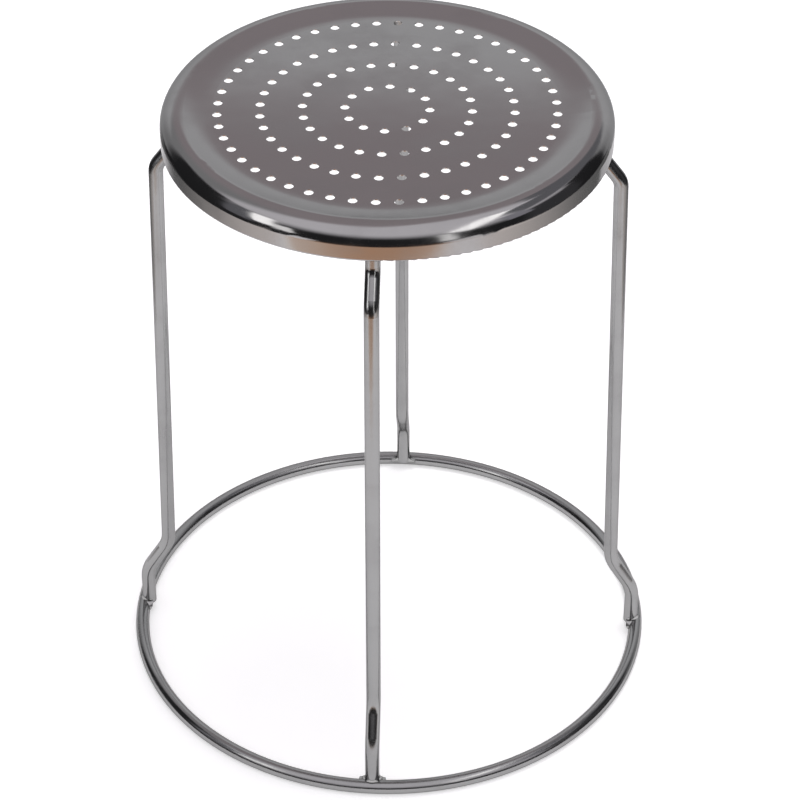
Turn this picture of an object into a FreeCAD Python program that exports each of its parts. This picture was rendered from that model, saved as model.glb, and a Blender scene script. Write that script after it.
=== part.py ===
import FreeCAD, Part
import math
import os
import Sketcher
from FreeCAD import Placement, Rotation, Vector

# A round stacking stool: a pressed, perforated steel pan on four bent bars,
# tied by a hoop under the pan and by a wider ring on the floor.
# Origin: floor level, on the seat's axis. +Z is up, the legs lie on +X, +Y, -X and -Y.

# Driving dimensions in millimetres, apart from the two counts.
SIZES = {
    # overall
    "seat_height": 450,
    "seat_diameter": 300,
    "ring_diameter": 370,
    # pressed pan
    "sheet_thickness": 0.8,
    "rim_inner_radius": 11.2,
    "panel_recess": 3.5,
    "panel_blend_radius": 60,
    "skirt_depth": 23,
    "hem_inner_radius": 0.7,
    "hem_lip_height": 3,
    # perforation
    "hole_diameter": 6.2,
    "hole_ring_pitch": 28,
    "hole_rings": 4,
    "holes_per_ring_step": 12,
    # bars
    "leg_diameter": 10,
    "ring_bar_diameter": 10,
    "hoop_bar_diameter": 8,
    # leg shape, from the top down
    "leg_cope_depth": 2,
    "shoulder_drop": 12,
    "shoulder_height": 19,
    "shoulder_bend_radius": 14,
    "stacking_clearance": 1,
    "joggle_height": 28,
    "joggle_offset": 17.2,
    "joggle_bend_radius": 27,
    "foot_stub_height": 33,
    "foot_inset": 4,
    "foot_end_height": 7,
    # gaps between neighbours
    "hem_clearance": 0.3,
    "hoop_clearance": 0.3,
    "tack_clearance": 0.3,
    # weld beads
    "foot_weld_size": 4.6,
    "foot_weld_runout": 0.3,
    "foot_weld_shift": 2,
    "foot_weld_lift": 3.5,
    "hoop_weld_size": 1.5,
    "hoop_weld_height": 6.5,
    "weld_toe": 0.2,
}

# Sizes and places that follow from the driving dimensions.
WORKED = {
    "seat_radius": "sizes.seat_diameter / 2",
    "leg_radius": "sizes.leg_diameter / 2",
    "ring_bar_radius": "sizes.ring_bar_diameter / 2",
    "hoop_bar_radius": "sizes.hoop_bar_diameter / 2",
    "ring_radius": "sizes.ring_diameter / 2",
    "rim_radius": "sizes.rim_inner_radius + sizes.sheet_thickness",
    "rim_centre_radius": "seat_radius - rim_radius",
    "rim_centre_height": "sizes.seat_height - rim_radius",
    "panel_height": "sizes.seat_height - sizes.panel_recess",
    "hem_radius": "sizes.hem_inner_radius + sizes.sheet_thickness",
    "hem_centre_radius": "seat_radius - hem_radius",
    "hem_centre_height": "sizes.seat_height - sizes.skirt_depth + hem_radius",
    "lip_radius": "seat_radius - 2 * hem_radius",
    "lip_top": "hem_centre_height + sizes.hem_lip_height",
    "tack_radius": "2 * hem_radius - sizes.sheet_thickness - sizes.tack_clearance",
    # The leg's top stub stands just inside the hem, under the hoop.
    "stub_radius": "lip_radius - sizes.hem_clearance - leg_radius",
    "hoop_reach": "sizes.rim_inner_radius - hoop_bar_radius - sizes.hoop_clearance",
    "hoop_height": "rim_centre_height + sqrt(hoop_reach ^ 2 - (stub_radius - rim_centre_radius) ^ 2)",
    "leg_top_height": "hoop_height - hoop_bar_radius + sizes.leg_cope_depth",
    "shoulder_top": "sizes.seat_height - sizes.skirt_depth - sizes.shoulder_drop",
    "shoulder_foot": "shoulder_top - sizes.shoulder_height",
    "shoulder_radius": "seat_radius + sizes.stacking_clearance + leg_radius",
    "foot_radius": "ring_radius - sizes.foot_inset",
    "joggle_foot": "ring_bar_radius + sizes.foot_stub_height",
    "joggle_top": "joggle_foot + sizes.joggle_height",
    "joggle_radius": "foot_radius - sizes.joggle_offset",
    # The ring's surface under the leg, above the ring's centre. The weld's hollow face
    # dips below it, so that the bead's edge runs out on the ring.
    "foot_seat": "sqrt(ring_bar_radius ^ 2 - sizes.foot_inset ^ 2)",
    "foot_weld_reach": "foot_seat + sizes.foot_weld_size - sizes.foot_weld_runout",
    "foot_wrap_radius": "ring_radius - sizes.foot_weld_shift",
    "foot_wrap_height": "ring_bar_radius + sizes.foot_weld_lift",
    "hoop_wrap_bar": "hoop_bar_radius + sizes.hoop_weld_size",
}

# The legs by name, each with its bearing in degrees about +Z.
LEGS = {"right": 0, "back": 90, "left": 180, "front": 270}

FULL_TURN = 360.0

# Bearings of the seams that close the bar rings and the round forms behind each weld bead,
# in degrees about +Z. They differ and lie clear of the beads, so that no two seams touch.
RING_SEAM = 45
SLUG_SEAM = 60
HOLLOW_SEAM = 120
WRAP_SEAM = 180

# A finished volume may miss its worked-out value by this share.
VOLUME_TOLERANCE = 0.01
# A bed for a bar ring takes less than this share of its leg.
BED_SHARE = 0.1

doc = FreeCAD.newDocument("stacking_stool")


def make_sheet(name, cells, prefix):
    """A sheet with one named cell a row: its alias in column A, its content in column B."""
    table = doc.addObject("Spreadsheet::Sheet", name)
    for row, (alias, content) in enumerate(cells.items(), start=1):
        table.set("A{}".format(row), alias)
        table.set("B{}".format(row), prefix + str(content))
        table.setAlias("B{}".format(row), alias)
    doc.recompute()
    return table


sizes = make_sheet("sizes", SIZES, "")
worked = make_sheet("worked", WORKED, "=")


def size(alias):
    """A driving dimension's present value."""
    return float(sizes.get(alias))


def place(alias):
    """A worked-out dimension's present value."""
    return float(worked.get(alias))


def turn(node, bearing):
    """Turn a node that was made on +X to a bearing about +Z."""
    node.Placement = Placement(Vector(), Rotation(Vector(0, 0, 1), bearing))


# Sketch helpers


def origin_feature(body, role):
    return next(item for item in body.Origin.OriginFeatures if item.Role == role)


def add_sketch(body, name, plane):
    sketch = body.newObject("Sketcher::SketchObject", name)
    sketch.AttachmentSupport = [(origin_feature(body, plane), "")]
    sketch.MapMode = "FlatFace"
    return sketch


def point(x, y):
    return Vector(x, y, 0)


def line(sketch, start, end):
    return sketch.addGeometry(Part.LineSegment(start, end), False)


def arc(sketch, centre, start, end):
    """An anticlockwise arc about centre; it begins at start and stops at end's bearing."""
    circle = Part.Circle(centre, Vector(0, 0, 1), start.distanceToPoint(centre))
    angles = [math.atan2(at.y - centre.y, at.x - centre.x) for at in (start, end)]
    if angles[1] < angles[0]:
        angles[1] += 2 * math.pi
    return sketch.addGeometry(Part.ArcOfCircle(circle, *angles), False)


# How a sketch constraint names an edge's ends and the sketch's own axes.
START, END, CENTRE = range(1, 4)
HORIZONTAL_AXIS, VERTICAL_AXIS = range(-1, -3, -1)
ORIGIN = (HORIZONTAL_AXIS, START)


def bind(sketch, name, expression, kind, *where):
    """Add a dimension at its drawn value, name it and bind it to an expression."""
    if kind == "Radius":
        value = sketch.Geometry[where[0]].Radius
    else:
        first = sketch.getPoint(where[0], where[1])
        second = sketch.getPoint(where[2], where[3])
        value = second.x - first.x if kind == "DistanceX" else second.y - first.y
    index = sketch.addConstraint(Sketcher.Constraint(kind, *where, value))
    sketch.renameConstraint(index, name)
    sketch.setExpression("Constraints." + name, expression)


def join(sketch, kind, *pairs):
    """The same constraint on several pairs of edge ends."""
    for pair in pairs:
        sketch.addConstraint(Sketcher.Constraint(kind, *pair))


def level(sketch, kind, *edges):
    """Horizontal or Vertical on several edges."""
    for edge in edges:
        sketch.addConstraint(Sketcher.Constraint(kind, edge))


# The seat pan


def draw_pan_section(sketch):
    """Half the pan's section: flat panel, raised round rim, straight skirt and rolled hem."""
    thick = size("sheet_thickness")
    blend = size("panel_blend_radius")
    wall = place("seat_radius")
    panel = place("panel_height")
    rim = point(place("rim_centre_radius"), place("rim_centre_height"))
    hem = point(place("hem_centre_radius"), place("hem_centre_height"))
    lip = place("lip_radius")
    lip_top = place("lip_top")

    # The panel's blend arc touches the rim's arc from outside.
    blend_rise = panel + blend - rim.y
    blend_run = math.sqrt((blend + place("rim_radius")) ** 2 - blend_rise ** 2)
    dish = point(rim.x - blend_run, panel + blend)
    towards_rim = (rim - dish).normalize()
    upper_touch = dish + towards_rim * blend
    lower_touch = dish + towards_rim * (blend + thick)

    top = line(sketch, point(0, panel), point(dish.x, panel))
    top_blend = arc(sketch, dish, point(dish.x, panel), upper_touch)
    top_rim = arc(sketch, rim, point(wall, rim.y), upper_touch)
    outer_wall = line(sketch, point(wall, rim.y), point(wall, hem.y))
    outer_hem = arc(sketch, hem, point(lip, hem.y), point(wall, hem.y))
    outer_lip = line(sketch, point(lip, hem.y), point(lip, lip_top))
    lip_edge = line(sketch, point(lip, lip_top), point(lip + thick, lip_top))
    inner_lip = line(sketch, point(lip + thick, lip_top), point(lip + thick, hem.y))
    inner_hem = arc(sketch, hem, point(lip + thick, hem.y), point(wall - thick, hem.y))
    inner_wall = line(sketch, point(wall - thick, hem.y), point(wall - thick, rim.y))
    inner_rim = arc(sketch, rim, point(wall - thick, rim.y), lower_touch)
    inner_blend = arc(sketch, dish, point(dish.x, panel - thick), lower_touch)
    under = line(sketch, point(dish.x, panel - thick), point(0, panel - thick))
    axis_edge = line(sketch, point(0, panel - thick), point(0, panel))

    join(
        sketch,
        "Tangent",
        (top, END, top_blend, START),
        (top_blend, END, top_rim, END),
        (top_rim, START, outer_wall, START),
        (outer_wall, END, outer_hem, END),
        (outer_hem, START, outer_lip, START),
        (inner_lip, END, inner_hem, START),
        (inner_hem, END, inner_wall, START),
        (inner_wall, END, inner_rim, START),
        (inner_rim, END, inner_blend, END),
        (inner_blend, START, under, START),
    )
    join(
        sketch,
        "Coincident",
        (outer_lip, END, lip_edge, START),
        (lip_edge, END, inner_lip, START),
        (under, END, axis_edge, START),
        (axis_edge, END, top, START),
        (top_rim, CENTRE, inner_rim, CENTRE),
        (top_blend, CENTRE, inner_blend, CENTRE),
        (outer_hem, CENTRE, inner_hem, CENTRE),
    )
    level(sketch, "Horizontal", top, lip_edge, under)
    level(sketch, "Vertical", outer_wall, outer_lip, inner_lip, inner_wall, axis_edge)
    join(sketch, "PointOnObject", (top, START, VERTICAL_AXIS))
    bind(sketch, "wall_radius", "worked.seat_radius", "DistanceX", *ORIGIN, outer_wall, START)
    bind(sketch, "panel_height", "worked.panel_height", "DistanceY", *ORIGIN, top, START)
    bind(sketch, "rim_height", "worked.rim_centre_height", "DistanceY", *ORIGIN, top_rim, CENTRE)
    bind(sketch, "hem_height", "worked.hem_centre_height", "DistanceY", *ORIGIN, outer_hem, CENTRE)
    bind(sketch, "lip_height", "sizes.hem_lip_height", "DistanceY", outer_lip, START, outer_lip, END)
    bind(sketch, "thickness", "sizes.sheet_thickness", "DistanceY", under, END, top, START)
    bind(sketch, "blend_radius", "sizes.panel_blend_radius", "Radius", top_blend)
    bind(sketch, "rim_radius", "worked.rim_radius", "Radius", top_rim)
    bind(sketch, "hem_radius", "worked.hem_radius", "Radius", outer_hem)


def punch_hole_ring(body, number):
    """One ring of round holes: a hole on +X, repeated about the axis."""
    distance = "sizes.hole_ring_pitch * {}".format(number)
    sketch = add_sketch(body, "hole_sketch_{}".format(number), "XY_Plane")
    centre = point(size("hole_ring_pitch") * number, 0)
    hole = sketch.addGeometry(Part.Circle(centre, Vector(0, 0, 1), size("hole_diameter") / 2), False)
    join(sketch, "PointOnObject", (hole, CENTRE, HORIZONTAL_AXIS))
    bind(sketch, "hole_distance", distance, "DistanceX", *ORIGIN, hole, CENTRE)
    bind(sketch, "hole_radius", "sizes.hole_diameter / 2", "Radius", hole)
    pocket = body.newObject("PartDesign::Pocket", "hole_{}".format(number))
    pocket.Profile = sketch
    pocket.Type = "ThroughAll"
    pocket.Reversed = True
    pattern = body.newObject("PartDesign::PolarPattern", "hole_ring_{}".format(number))
    pattern.Originals = [pocket]
    pattern.Axis = (origin_feature(body, "Z_Axis"), [""])
    pattern.Angle = FULL_TURN
    pattern.setExpression("Occurrences", "sizes.holes_per_ring_step * {}".format(number))
    body.Tip = pattern


def make_seat_pan():
    body = doc.addObject("PartDesign::Body", "seat_pan")
    section = add_sketch(body, "pan_section", "XZ_Plane")
    draw_pan_section(section)
    pressing = body.newObject("PartDesign::Revolution", "pressing")
    pressing.Profile = section
    pressing.ReferenceAxis = (origin_feature(body, "Z_Axis"), [""])
    pressing.Angle = FULL_TURN
    doc.recompute()
    blank_volume = body.Shape.Volume
    rings = range(1, int(size("hole_rings")) + 1)
    for number in rings:
        punch_hole_ring(body, number)
    doc.recompute()
    holes = sum(rings) * size("holes_per_ring_step")
    slug = math.pi / 4 * size("hole_diameter") ** 2 * size("sheet_thickness")
    check_volume("perforation", blank_volume - body.Shape.Volume, holes * slug)
    return body


# Bars


def make_bar_ring(name, radius, bar_radius, height):
    """A closed ring of round bar, lying level."""
    ring = doc.addObject("Part::Torus", name)
    turn(ring, RING_SEAM)
    ring.setExpression("Radius1", radius)
    ring.setExpression("Radius2", bar_radius)
    ring.setExpression("Placement.Base.z", height)
    return ring


def corner_arcs(corners, radii):
    """For each inner corner of a bent line: where its arc starts, its centre and where it stops."""
    arcs = []
    for before, corner, after, radius in zip(corners, corners[1:], corners[2:], radii):
        back = (before - corner).normalize()
        ahead = (after - corner).normalize()
        half = back.getAngle(ahead) / 2
        run = radius / math.tan(half)
        middle = (back + ahead).normalize()
        centre = corner + middle * (radius / math.sin(half))
        arcs.append((corner + back * run, centre, corner + ahead * run))
    return arcs


def draw_leg_path(sketch):
    """The bar's centreline: foot stub, joggle, straight run, shoulder and top stub."""
    corners = {
        "foot": ("foot_radius", "joggle_foot", "joggle_bend_radius"),
        "joggle": ("joggle_radius", "joggle_top", "joggle_bend_radius"),
        "shoulder": ("shoulder_radius", "shoulder_foot", "shoulder_bend_radius"),
        "stub": ("stub_radius", "shoulder_top", "shoulder_bend_radius"),
    }
    knees = [point(place(across), place(up)) for across, up, radius in corners.values()]
    radii = [size(radius) for across, up, radius in corners.values()]
    foot_end = point(knees[0].x, size("foot_end_height"))
    top_end = point(knees[-1].x, place("leg_top_height"))
    bends = corner_arcs([foot_end] + knees + [top_end], radii)

    starts = [foot_end] + [finish for begin, centre, finish in bends]
    stops = [begin for begin, centre, finish in bends] + [top_end]
    runs = [line(sketch, *ends) for ends in zip(starts, stops)]

    edges = []
    for number, (begin, centre, finish) in enumerate(bends):
        anticlockwise = (begin - centre).cross(finish - centre).z > 0
        ends = (begin, finish) if anticlockwise else (finish, begin)
        first, last = (START, END) if anticlockwise else (END, START)
        bend = arc(sketch, centre, *ends)
        join(sketch, "Tangent", (runs[number], END, bend, first), (bend, last, runs[number + 1], START))
        edges.append(bend)

    for number, (name, (across, up, radius)) in enumerate(corners.items()):
        knee = sketch.addGeometry(Part.Point(knees[number]), True)
        join(sketch, "PointOnObject", (knee, START, runs[number]), (knee, START, runs[number + 1]))
        bind(sketch, name + "_across", "worked." + across, "DistanceX", *ORIGIN, knee, START)
        bind(sketch, name + "_up", "worked." + up, "DistanceY", *ORIGIN, knee, START)
        bind(sketch, name + "_bend", "sizes." + radius, "Radius", edges[number])
    level(sketch, "Vertical", runs[0], runs[-1])
    bind(sketch, "foot_end", "sizes.foot_end_height", "DistanceY", *ORIGIN, runs[0], START)
    bind(sketch, "top_end", "worked.leg_top_height", "DistanceY", *ORIGIN, runs[-1], END)


def cope(body, name, radius, height, bar_radius):
    """Cut a bar ring's bed out of the leg, so that its end fits the ring."""
    sketch = add_sketch(body, name + "_sketch", "XZ_Plane")
    centre = point(place(radius), place(height))
    bed = sketch.addGeometry(Part.Circle(centre, Vector(0, 0, 1), place(bar_radius)), False)
    bind(sketch, "bed_distance", "worked." + radius, "DistanceX", *ORIGIN, bed, CENTRE)
    bind(sketch, "bed_height", "worked." + height, "DistanceY", *ORIGIN, bed, CENTRE)
    bind(sketch, "bed_radius", "worked." + bar_radius, "Radius", bed)
    groove = body.newObject("PartDesign::Groove", name)
    groove.Profile = sketch
    groove.ReferenceAxis = (origin_feature(body, "Z_Axis"), [""])
    groove.Angle = FULL_TURN
    before = body.Shape.Volume
    doc.recompute()
    if not 0 < before - body.Shape.Volume < BED_SHARE * before:
        raise ValueError("{} {} cuts {} mm3".format(body.Label, name, before - body.Shape.Volume))


def make_leg(name, bearing):
    body = doc.addObject("PartDesign::Body", name)
    path = add_sketch(body, "leg_path", "XZ_Plane")
    draw_leg_path(path)
    section = add_sketch(body, "leg_section", "XY_Plane")
    section.setExpression("AttachmentOffset.Base.z", "sizes.foot_end_height")
    centre = point(place("foot_radius"), 0)
    circle = section.addGeometry(Part.Circle(centre, Vector(0, 0, 1), place("leg_radius")), False)
    join(section, "PointOnObject", (circle, CENTRE, HORIZONTAL_AXIS))
    bind(section, "leg_distance", "worked.foot_radius", "DistanceX", *ORIGIN, circle, CENTRE)
    bind(section, "leg_radius", "worked.leg_radius", "Radius", circle)
    bar = body.newObject("PartDesign::AdditivePipe", "bar")
    bar.Profile = section
    bar.Spine = path
    doc.recompute()
    length = path.Shape.Length
    check_volume(name, body.Shape.Volume, length * math.pi * place("leg_radius") ** 2)
    cope(body, "hoop_bed", "stub_radius", "hoop_height", "hoop_bar_radius")
    cope(body, "ring_bed", "ring_radius", "ring_bar_radius", "ring_bar_radius")
    turn(body, bearing)
    return body


# Weld beads


def boolean(kind, name, base, tool):
    result = doc.addObject("Part::" + kind, name)
    result.Base = base
    result.Tool = tool
    return result


def make_bar_weld(name, bearing, leg, ring, at):
    """A hollow-faced flare of a leg's end, wrapped on the bar ring that the end meets."""
    # The slug is set a toe towards the ring from the hollow, so its flat ends lie
    # clear of the seams at the middle heights of both.
    far_end = "{height} {sign} {reach}".format(**at)
    low_end = at["height"] + " - sizes.weld_toe" if at["sign"] == "+" else far_end + " + sizes.weld_toe"

    slug = doc.addObject("Part::Cylinder", name + "_slug")
    turn(slug, SLUG_SEAM)
    slug.setExpression("Radius", "worked.leg_radius + {size}".format(**at))
    slug.setExpression("Height", at["reach"])
    slug.setExpression("Placement.Base.x", at["leg_at"])
    slug.setExpression("Placement.Base.z", low_end)

    hollow = doc.addObject("Part::Torus", name + "_hollow")
    turn(hollow, HOLLOW_SEAM)
    hollow.setExpression("Radius1", "worked.leg_radius + {size} + sizes.weld_toe".format(**at))
    hollow.setExpression("Radius2", at["size"])
    hollow.setExpression("Placement.Base.x", at["leg_at"])
    hollow.setExpression("Placement.Base.z", far_end)

    wrap = doc.addObject("Part::Torus", name + "_wrap")
    turn(wrap, WRAP_SEAM)
    wrap.setExpression("Radius1", at["wrap_at"])
    wrap.setExpression("Radius2", at["wrap_bar"])
    wrap.setExpression("Placement.Base.z", at["wrap_height"])

    blob = boolean("Common", name + "_blob", slug, wrap)
    flare = boolean("Cut", name + "_flare", blob, hollow)
    seated = boolean("Cut", name + "_seated", flare, ring)
    bead = boolean("Cut", name, seated, leg)
    turn(bead, bearing)
    return bead


FOOT_WELD = {
    "leg_at": "worked.foot_radius",
    "height": "worked.ring_bar_radius",
    "sign": "+",
    "reach": "worked.foot_weld_reach",
    "size": "sizes.foot_weld_size",
    "wrap_at": "worked.foot_wrap_radius",
    "wrap_height": "worked.foot_wrap_height",
    "wrap_bar": "worked.ring_bar_radius",
}
HOOP_WELD = {
    "leg_at": "worked.stub_radius",
    "height": "worked.hoop_height",
    "sign": "-",
    "reach": "sizes.hoop_weld_height",
    "size": "sizes.hoop_weld_size",
    "wrap_at": "worked.stub_radius",
    "wrap_height": "worked.hoop_height",
    "wrap_bar": "worked.hoop_wrap_bar",
}


def make_hem_tack(name, bearing, leg):
    """A tack weld that sits on the hem lip's edge, against the leg's outer side."""
    drop = doc.addObject("Part::Sphere", name + "_drop")
    drop.Angle1 = 0
    drop.setExpression("Radius", "worked.tack_radius")
    drop.setExpression("Placement.Base.x", "worked.lip_radius")
    drop.setExpression("Placement.Base.z", "worked.lip_top")
    tack = boolean("Cut", name, drop, leg)
    turn(tack, bearing)
    return tack


# Checks and files


def check_volume(what, found, expected):
    if abs(found - expected) > VOLUME_TOLERANCE * expected:
        raise ValueError("{}: {:.1f} mm3, expected {:.1f}".format(what, found, expected))


def check_document(nodes):
    for item in doc.Objects:
        if {"Invalid", "Error"} & set(item.State):
            raise ValueError("{} failed: {}".format(item.Label, item.State))
    for node in nodes:
        shape = node.Shape
        if shape.isNull() or not shape.isValid() or not shape.Solids:
            raise ValueError("{} has no valid solid".format(node.Label))


nodes = [
    make_seat_pan(),
    make_bar_ring("seat_hoop", "worked.stub_radius", "worked.hoop_bar_radius", "worked.hoop_height"),
    make_bar_ring("base_ring", "worked.ring_radius", "worked.ring_bar_radius", "worked.ring_bar_radius"),
]
hoop, ring = nodes[1:]
pattern_leg = make_leg("leg_right", LEGS["right"])
nodes.append(pattern_leg)
nodes += [make_leg("leg_" + side, bearing) for side, bearing in LEGS.items() if bearing]
for side, bearing in LEGS.items():
    nodes.append(make_bar_weld("foot_weld_" + side, bearing, pattern_leg, ring, FOOT_WELD))
    nodes.append(make_bar_weld("hoop_weld_" + side, bearing, pattern_leg, hoop, HOOP_WELD))
    nodes.append(make_hem_tack("hem_tack_" + side, bearing, pattern_leg))
doc.recompute()
check_document(nodes)

os.makedirs("parts", exist_ok=True)
for node in nodes:
    shape = node.Shape
    shape.exportStep("parts/{}.step".format(node.Label))
    print("{:18s} solids {}  volume {:10.1f} mm3".format(node.Label, len(shape.Solids), shape.Volume))
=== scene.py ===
"""The looks of a round chromed steel stacking stool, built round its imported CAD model.

Places and lengths are in metres, in the model's own frame: +X is right, -Y is the front and +Z is up.
"""

import math

import bpy
from mathutils import Matrix, Vector

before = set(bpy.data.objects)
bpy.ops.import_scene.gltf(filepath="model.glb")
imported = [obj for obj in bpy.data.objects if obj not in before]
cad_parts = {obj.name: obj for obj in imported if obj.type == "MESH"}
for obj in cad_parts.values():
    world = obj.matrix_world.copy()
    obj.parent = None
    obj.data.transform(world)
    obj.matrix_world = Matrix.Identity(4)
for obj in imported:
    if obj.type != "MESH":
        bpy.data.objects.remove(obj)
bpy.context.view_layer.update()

# Camera: the place that fits the photograph's 800 x 800 frame. Angles are in degrees, the lens and
# its sensor in millimetres.
CAMERA_AZIMUTH = 3.50
CAMERA_ELEVATION = 37.42
CAMERA_DISTANCE = 1.9758
CAMERA_AIM = (0.0089, -0.0092, 0.2124)
CAMERA_LENS = 126.0
CAMERA_SENSOR = 36.0

# Key lamp
KEY_PLACE = (0.3, 0.5, 2.6)
KEY_AIM = (0, 0.2, 0)
KEY_SIZE = 1.4
KEY_POWER = 18.0

# Metals. EDGE_TINT colours what they mirror at a glancing angle.
SEAT_COLOUR = (0.36, 0.355, 0.355, 1)
FRAME_COLOUR = (0.32, 0.32, 0.32, 1)
WELD_COLOUR = (0.40, 0.40, 0.395, 1)
EDGE_TINT = (0.55, 0.55, 0.55, 1)
# How rough each metal is where it is cleanest, and how strongly its surface waves.
SEAT_FINISH = (0.10, 0.16)
FRAME_FINISH = (0.14, 0.16)
WELD_FINISH = (0.16, 0.5)
# Smudges: a noise, the range of it over which the colour goes SMUDGE_MOST of the way to SMUDGE_SHADE
# times itself, and the range over which the roughness rises to SMUDGE_ROUGH times itself.
SMUDGE_SCALE = 26.0
SMUDGE_DETAIL = 4.0
SMUDGE_BREAKUP = 0.6
SMUDGE_TONE = (0.42, 0.75)
SMUDGE_MOST = 0.35
SMUDGE_SHADE = 0.8
SMUDGE_RANGE = (0.35, 0.8)
SMUDGE_ROUGH = 2.2
# Swells of the bar and sheet, and the fine grain on them, both as bumps.
SWELL_SCALE = 38.0
SWELL_DETAIL = 1.0
SWELL_HEIGHT = 0.0006
GRAIN_SCALE = 900.0
GRAIN_DETAIL = 3.0
GRAIN_STRENGTH = 0.06
GRAIN_HEIGHT = 0.00004

# Floor
FLOOR_HALF = 12.0
FLOOR_COLOUR = (0.9, 0.9, 0.9, 1)
FLOOR_LIFT = 0.50
SPECKLE_SCALE = 3.0
SPECKLE_DETAIL = 3.0
SPECKLE_SHADE = 0.985

# Tones that the polished metal mirrors
BLACK = (0.03, 0.03, 0.032, 1)
DIM = (0.07, 0.07, 0.075, 1)
GREY = (0.22, 0.22, 0.24, 1)
PALE = (0.42, 0.41, 0.46, 1)
# Glows of the cards that only the metal sees: a pale grey that paints a bright reflection from behind the
# stool, and the white of the painted highlights.
LOW_REFLECTION = (0.78, 0.78, 0.80, 1)
HIGHLIGHT_WHITE = (1, 0.99, 0.99, 1)
STRIP_LIGHT = 2.5
TAIL_LIGHT = 1.6
CEILING = (1.0, 0.97, 1.02, 1)
WALL_BACK = (0.485, 0.43, 0.45, 1)
WALL_SIDE = (0.40, 0.40, 0.41, 1)
STUDIO_BACK = (0.46, 0.46, 0.47, 1)
# Painted highlight: the glow of the paper's bright front edge, brighter than white.
PAPER_EDGE = (1.35, 1.3, 1.26, 1)
# Glow of the side sheets, a painted reflection of the floor: dim far back, and painted light brighter than
# white near the front.
SIDE_FAR = (0.28, 0.28, 0.28, 1)
SIDE_NEAR = (1.18, 1.08, 1.04, 1)
# Glow of the warm sheet, a painted reflection of a warm floor in front, which fades to painted shade
# further out.
WARM_NEAR = (1.0, 0.77, 0.63, 1)
WARM_FAR = (0.84, 0.49, 0.31, 1)

# The world, by the direction looked in: each pair is where one tone starts to give way to the next
# and where it has given way.
WALL_TURN = (0.2, 0.6)
CEILING_RISE = (0.20, 0.70)
WALL_START = (-0.11, 0.21)
# Towards the right the wall starts further back, by up to REACH_BACK.
REACH_TURN = (-0.05, 0.15)
REACH_BACK = 0.35

# Sheets on the floor, which only the metal sees: glows that paint its reflections, with painted shade
# further out. The floor between them is white paper. Its front edge has a bright rim of painted highlight
# and slants: this is how far forward it lies in the middle, and its slope.
SHEET_HEIGHT = 0.0006
PAPER_HALF = 0.57
PAPER_FRONT = -0.65
PAPER_SLOPE = -0.13
PAPER_RIM = 0.03
PAPER_BACK = 1.2
# Side sheets of painted reflection, from the paper out to these distances
SIDE_LEFT = 0.84
SIDE_RIGHT = 1.15
SIDE_FRONT = -0.81
SIDE_TURN = (0.45, -0.75)
# Warm sheet in front of the paper, a glow of painted reflection: where it deepens, where its painted shade
# starts to darken it and where it is dark.
# It slants with the paper, so it runs on by WARM_SPARE past its front line.
WARM_TURN = (-0.69, -0.76)
WARM_FADE = -0.80
WARM_FRONT = -1.1
WARM_SPARE = 0.1

# Standing cards, which only the metal sees: glows that paint its highlights and dark reflections. Each has
# the middle of its low end and of its high end, its width and its glow, and fades out from these shares of
# its half width and half length.
FADE_ACROSS = 0.55
FADE_ALONG = 0.75
CARDS = {
    "strip_left": ((-0.60, -0.52, 0.36), (-0.64, -0.44, 0.88), 0.20, "strip_painted_highlight"),
    "tail_left": ((-0.47, -0.56, 0.33), (-0.54, -0.61, 0.62), 0.13, "tail_painted_highlight"),
    "strip_right": ((0.45, -0.70, 0.70), (0.68, -0.06, 1.56), 0.26, "strip_painted_highlight"),
    "tail_right": ((0.34, -0.60, 0.24), (0.40, -0.74, 0.76), 0.11, "tail_painted_highlight"),
    "flag_left": ((-0.78, 0.07, 0.03), (-0.78, 0.07, 0.96), 0.74, "black_painted_reflection"),
    "dim_left": ((-0.74, -0.36, 0.20), (-0.74, -0.36, 0.92), 0.30, "grey_painted_reflection"),
    "flag_right": ((0.72, 0.24, 0.22), (0.72, 0.24, 0.92), 0.40, "black_painted_reflection"),
    "dim_right": ((0.76, -0.10, 0.14), (0.76, -0.10, 0.80), 0.60, "dim_painted_reflection"),
    "top_right": ((0.76, 0.06, 0.86), (0.76, 0.06, 1.50), 0.96, "grey_painted_reflection"),
    "top_back_right": ((0.74, 0.66, 0.80), (0.74, 0.66, 2.10), 0.80, "grey_painted_reflection"),
    "glow_right": ((0.70, -0.34, 0.58), (0.70, -0.34, 0.98), 0.24, "pale_painted_reflection"),
    "low_painted_reflection": ((0.0, 0.50, 0.10), (0.0, 0.50, 0.78), 1.6, "low_painted_reflection"),
}


# Node helpers


def add(tree, kind, inputs=None, **settings):
    """A node with its settings. An input is a value, or a socket to link from."""
    node = tree.nodes.new(kind)
    for name, value in settings.items():
        setattr(node, name, value)
    sockets = {socket.identifier: socket for socket in node.inputs}
    for name, value in (inputs or {}).items():
        target = sockets.get(name) or node.inputs[name]
        if isinstance(value, bpy.types.NodeSocket):
            tree.links.new(value, target)
        else:
            target.default_value = value
    return node


def maths(tree, operation, first, second=0.0):
    return add(tree, "ShaderNodeMath", {0: first, 1: second}, operation=operation).outputs["Value"]


def ramp(tree, value, low, high, to_low=0.0, to_high=1.0):
    """value brought smoothly from to_low, at low, to to_high, at high."""
    inputs = {"Value": value, "From Min": low, "From Max": high, "To Min": to_low, "To Max": to_high}
    node = add(tree, "ShaderNodeMapRange", inputs, interpolation_type="SMOOTHSTEP")
    return node.outputs["Result"]


def mix_colour(tree, factor, first, second):
    inputs = {"Factor_Float": factor, "A_Color": first, "B_Color": second}
    node = add(tree, "ShaderNodeMix", inputs, data_type="RGBA")
    return next(out for out in node.outputs if out.identifier == "Result_Color")


def darker(colour, share):
    return [channel * share for channel in colour[:3]] + [1]


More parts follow.
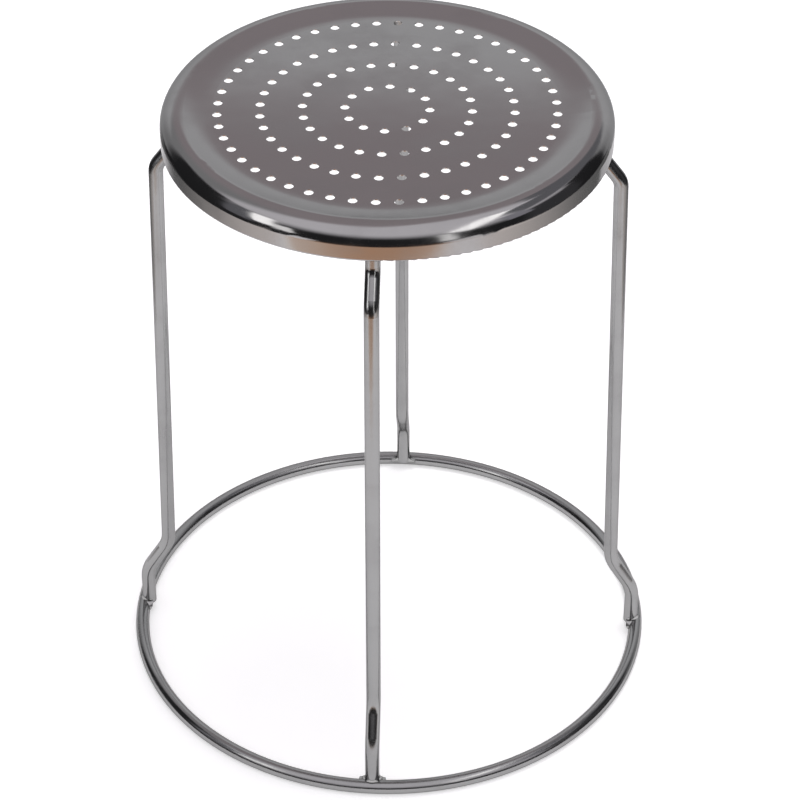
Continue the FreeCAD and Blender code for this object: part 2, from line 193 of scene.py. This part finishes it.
def noise(tree, place, scale, detail, rough=0.5):
    inputs = {"Vector": place, "Scale": scale, "Detail": detail, "Roughness": rough}
    return add(tree, "ShaderNodeTexNoise", inputs).outputs["Fac"]


def own_place(tree):
    """A surface point in its object's own axes, which for a floor sheet are the model's."""
    return add(tree, "ShaderNodeTexCoord").outputs["Object"]


def new_material(name):
    material = bpy.data.materials.new(name)
    material.use_nodes = True
    material.node_tree.nodes.clear()
    return material, material.node_tree


# Metals


def chrome(name, colour, finish):
    """Chrome plate: faint smudges and a fine grain over metal that is not quite even."""
    clean_rough, wave = finish
    material, tree = new_material(name)
    place = own_place(tree)
    smudge = noise(tree, place, SMUDGE_SCALE, SMUDGE_DETAIL, SMUDGE_BREAKUP)
    shade = ramp(tree, smudge, *SMUDGE_TONE, 0.0, SMUDGE_MOST)
    swell = noise(tree, place, SWELL_SCALE, SWELL_DETAIL)
    swell_inputs = {"Height": swell, "Strength": wave, "Distance": SWELL_HEIGHT}
    swell_bump = add(tree, "ShaderNodeBump", swell_inputs)
    grain_inputs = {
        "Height": noise(tree, place, GRAIN_SCALE, GRAIN_DETAIL),
        "Strength": GRAIN_STRENGTH,
        "Distance": GRAIN_HEIGHT,
        "Normal": swell_bump.outputs["Normal"],
    }
    grain_bump = add(tree, "ShaderNodeBump", grain_inputs)
    plate = {
        "Base Color": mix_colour(tree, shade, colour, darker(colour, SMUDGE_SHADE)),
        "Metallic": 1.0,
        "Roughness": ramp(tree, smudge, *SMUDGE_RANGE, clean_rough, clean_rough * SMUDGE_ROUGH),
        "Specular Tint": EDGE_TINT,
        "Normal": grain_bump.outputs["Normal"],
    }
    shader = add(tree, "ShaderNodeBsdfPrincipled", plate)
    add(tree, "ShaderNodeOutputMaterial", {"Surface": shader.outputs["BSDF"]})
    return material


def dress(prefixes, material):
    """Give the CAD nodes whose names start so this material."""
    for name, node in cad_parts.items():
        if name.startswith(prefixes):
            node.data.materials.clear()
            node.data.materials.append(material)


# Stage


def plane(name, corners, material):
    mesh = bpy.data.meshes.new(name)
    mesh.from_pydata(corners, [], [tuple(range(len(corners)))])
    mesh.materials.append(material)
    piece = bpy.data.objects.new(name, mesh)
    bpy.context.scene.collection.objects.link(piece)
    return piece


def make_floor():
    """A pale matt floor. Its lift makes it near white to the eye and to the metal alike."""
    material, tree = new_material("floor_paint")
    speckle = noise(tree, own_place(tree), SPECKLE_SCALE, SPECKLE_DETAIL)
    paint = mix_colour(tree, speckle, FLOOR_COLOUR, darker(FLOOR_COLOUR, SPECKLE_SHADE))
    matt = add(tree, "ShaderNodeBsdfDiffuse", {"Color": paint})
    path = add(tree, "ShaderNodeLightPath")
    seen = maths(tree, "MAXIMUM", path.outputs["Is Camera Ray"], path.outputs["Is Glossy Ray"])
    seen = maths(tree, "MAXIMUM", seen, path.outputs["Is Transmission Ray"])
    strength = maths(tree, "MULTIPLY", seen, FLOOR_LIFT)
    lift = add(tree, "ShaderNodeEmission", {"Color": paint, "Strength": strength})
    both = add(tree, "ShaderNodeAddShader", {0: matt.outputs["BSDF"], 1: lift.outputs["Emission"]})
    add(tree, "ShaderNodeOutputMaterial", {"Surface": both.outputs["Shader"]})
    far = FLOOR_HALF
    plane("floor", [(-far, -far, 0), (far, -far, 0), (far, far, 0), (-far, far, 0)], material)


def make_sky():
    """The studio: dark low in front, a pale ceiling that reaches further back on the right, a dim wall."""
    world = bpy.data.worlds.new("studio")
    world.use_nodes = True
    bpy.context.scene.world = world
    tree = world.node_tree
    tree.nodes.clear()
    towards = add(tree, "ShaderNodeTexCoord").outputs["Generated"]
    axes = add(tree, "ShaderNodeSeparateXYZ", {"Vector": towards}).outputs
    aside = maths(tree, "ABSOLUTE", axes["X"])
    wall = mix_colour(tree, ramp(tree, aside, *WALL_TURN), WALL_BACK, WALL_SIDE)
    front = mix_colour(tree, ramp(tree, axes["Z"], *CEILING_RISE), BLACK, CEILING)
    reach = ramp(tree, axes["X"], *REACH_TURN, 0.0, REACH_BACK)
    depth = maths(tree, "SUBTRACT", axes["Y"], reach)
    colour = mix_colour(tree, ramp(tree, depth, *WALL_START), front, wall)
    shade = add(tree, "ShaderNodeBackground", {"Color": colour, "Strength": 1.0})
    add(tree, "ShaderNodeOutputWorld", {"Surface": shade.outputs["Background"]})


# Glows, for what the metal mirrors


def show_glow(tree, colour):
    shade = add(tree, "ShaderNodeEmission", {"Color": colour, "Strength": 1.0})
    add(tree, "ShaderNodeOutputMaterial", {"Surface": shade.outputs["Emission"]})


def glow(name, colour):
    material, tree = new_material(name)
    show_glow(tree, colour)
    return material


def side_glow():
    """The floor beside the paper as a glow that paints its reflection, with painted light that is brighter
    towards the front.
    """
    material, tree = new_material("side_floor_painted_reflection")
    along = add(tree, "ShaderNodeSeparateXYZ", {"Vector": own_place(tree)}).outputs["Y"]
    show_glow(tree, mix_colour(tree, ramp(tree, along, *SIDE_TURN), SIDE_FAR, SIDE_NEAR))
    return material


def warm_glow():
    """The floor in front of the paper as a glow that paints its reflection: warm, then deeper in colour,
    then painted shade that makes it dark further from it.
    """
    material, tree = new_material("warm_floor_painted_reflection")
    along = add(tree, "ShaderNodeSeparateXYZ", {"Vector": own_place(tree)}).outputs["Y"]
    warm = mix_colour(tree, ramp(tree, along, *WARM_TURN), WARM_NEAR, WARM_FAR)
    show_glow(tree, mix_colour(tree, ramp(tree, along, WARM_FADE, WARM_FRONT), warm, BLACK))
    return material


def soft_glow(name, colour, strength=1.0):
    """A glow for a card that is 2 by 2 in its own axes, which fades out at the card's edges."""
    material, tree = new_material(name)
    axes = add(tree, "ShaderNodeSeparateXYZ", {"Vector": own_place(tree)}).outputs
    across = ramp(tree, maths(tree, "ABSOLUTE", axes["X"]), 1.0, FADE_ACROSS)
    along = ramp(tree, maths(tree, "ABSOLUTE", axes["Y"]), 1.0, FADE_ALONG)
    shade = add(tree, "ShaderNodeEmission", {"Color": colour, "Strength": strength})
    clear = add(tree, "ShaderNodeBsdfTransparent")
    solid = maths(tree, "MULTIPLY", across, along)
    inputs = {"Fac": solid, 1: clear.outputs["BSDF"], 2: shade.outputs["Emission"]}
    both = add(tree, "ShaderNodeMixShader", inputs)
    add(tree, "ShaderNodeOutputMaterial", {"Surface": both.outputs["Shader"]})
    return material


# Surroundings that only the metal sees


def reflected_only(piece):
    """Only the metal sees this piece: it neither lights nor shades anything matt."""
    piece.visible_camera = False
    piece.visible_shadow = False
    piece.visible_diffuse = False


def floor_sheet(name, left, right, front, back, material, slope=0.0):
    """A sheet on the floor. Its front and back lines rise by slope times their distance to the right."""
    sides = ((left, front), (right, front), (right, back), (left, back))
    corners = [(across, along + slope * across, SHEET_HEIGHT) for across, along in sides]
    reflected_only(plane(name, corners, material))


def make_floor_sheets():
    """Glows that paint the metal's reflection of the studio's floor round the paper, dark as painted shade
    further out, and a painted highlight on the paper's bright front edge.
    """
    far, half = FLOOR_HALF, PAPER_HALF
    side = side_glow()
    dark = glow("dark_floor_painted_shade", BLACK)
    back = glow("back_floor_painted_reflection", STUDIO_BACK)
    rim = glow("paper_edge_glow", PAPER_EDGE)
    rim_back = PAPER_FRONT + PAPER_RIM
    warm_front = WARM_FRONT - WARM_SPARE
    floor_sheet("side_floor_left", -SIDE_LEFT, -half, SIDE_FRONT, PAPER_BACK, side)
    floor_sheet("side_floor_right", half, SIDE_RIGHT, SIDE_FRONT, PAPER_BACK, side)
    floor_sheet("dark_floor_left", -far, -SIDE_LEFT, WARM_FRONT, PAPER_BACK, dark)
    floor_sheet("dark_floor_right", SIDE_RIGHT, far, WARM_FRONT, PAPER_BACK, dark)
    floor_sheet("dark_floor_front", -far, far, -far, WARM_FRONT, dark)
    floor_sheet("back_floor", -far, far, PAPER_BACK, far, back)
    floor_sheet("paper_edge", -half, half, PAPER_FRONT, rim_back, rim, PAPER_SLOPE)
    floor_sheet("warm_floor", -half, half, warm_front, PAPER_FRONT, warm_glow(), PAPER_SLOPE)


def standing_card(name, low_end, high_end, width, material):
    """A card as wide as width, from a low middle point to a high one, which faces the stool."""
    low, high = Vector(low_end), Vector(high_end)
    middle = (low + high) / 2
    along = (high - low) / 2
    across = along.cross(Vector((middle.x, middle.y, 0))).normalized() * (width / 2)
    facing = across.cross(along).normalized()
    card = plane(name, [(-1, -1, 0), (1, -1, 0), (1, 1, 0), (-1, 1, 0)], material)
    card.matrix_world = Matrix((across, along, facing)).transposed().to_4x4()
    card.location = middle
    reflected_only(card)


def make_cards():
    """Glowing cards round the stool that only the metal sees: white strips of painted highlight, and black
    and grey cards of painted reflection.
    """
    card_glows = {
        "strip_painted_highlight": soft_glow("strip_painted_highlight", HIGHLIGHT_WHITE, STRIP_LIGHT),
        "tail_painted_highlight": soft_glow("tail_painted_highlight", HIGHLIGHT_WHITE, TAIL_LIGHT),
        "black_painted_reflection": soft_glow("black_painted_reflection", BLACK),
        "dim_painted_reflection": soft_glow("dim_painted_reflection", DIM),
        "grey_painted_reflection": soft_glow("grey_painted_reflection", GREY),
        "pale_painted_reflection": soft_glow("pale_painted_reflection", PALE),
        "low_painted_reflection": soft_glow("low_painted_reflection", LOW_REFLECTION),
    }
    for name, (low_end, high_end, width, card_glow) in CARDS.items():
        standing_card(name, low_end, high_end, width, card_glows[card_glow])


# Lamp and camera


def make_key():
    """One large overhead soft box, which the metal doesn't mirror."""
    lamp = bpy.data.lights.new("key", "AREA")
    lamp.shape = "DISK"
    lamp.size = KEY_SIZE
    lamp.energy = KEY_POWER
    key = bpy.data.objects.new("key", lamp)
    key.location = KEY_PLACE
    key.rotation_mode = "QUATERNION"
    key.rotation_quaternion = (key.location - Vector(KEY_AIM)).to_track_quat("Z", "Y")
    key.visible_glossy = False
    bpy.context.scene.collection.objects.link(key)


def make_camera():
    bearing, tilt = math.radians(CAMERA_AZIMUTH), math.radians(CAMERA_ELEVATION)
    across = math.cos(tilt)
    back = Vector((math.sin(bearing) * across, -math.cos(bearing) * across, math.sin(tilt)))
    lens = bpy.data.cameras.new("camera")
    lens.sensor_width = CAMERA_SENSOR
    lens.lens = CAMERA_LENS
    camera = bpy.data.objects.new("camera", lens)
    camera.location = Vector(CAMERA_AIM) + back * CAMERA_DISTANCE
    camera.rotation_mode = "QUATERNION"
    camera.rotation_quaternion = back.to_track_quat("Z", "Y")
    bpy.context.scene.collection.objects.link(camera)
    bpy.context.scene.camera = camera


dress("seat_pan", chrome("seat_chrome_plate", SEAT_COLOUR, SEAT_FINISH))
dress(("seat_hoop", "base_ring", "leg_"), chrome("frame_chrome_plate", FRAME_COLOUR, FRAME_FINISH))
dress(("foot_weld", "hoop_weld", "hem_tack"), chrome("weld_chrome_plate", WELD_COLOUR, WELD_FINISH))

make_floor()
make_sky()
make_floor_sheets()
make_cards()
make_key()
make_camera()
bpy.context.scene.view_settings.view_transform = "Standard"
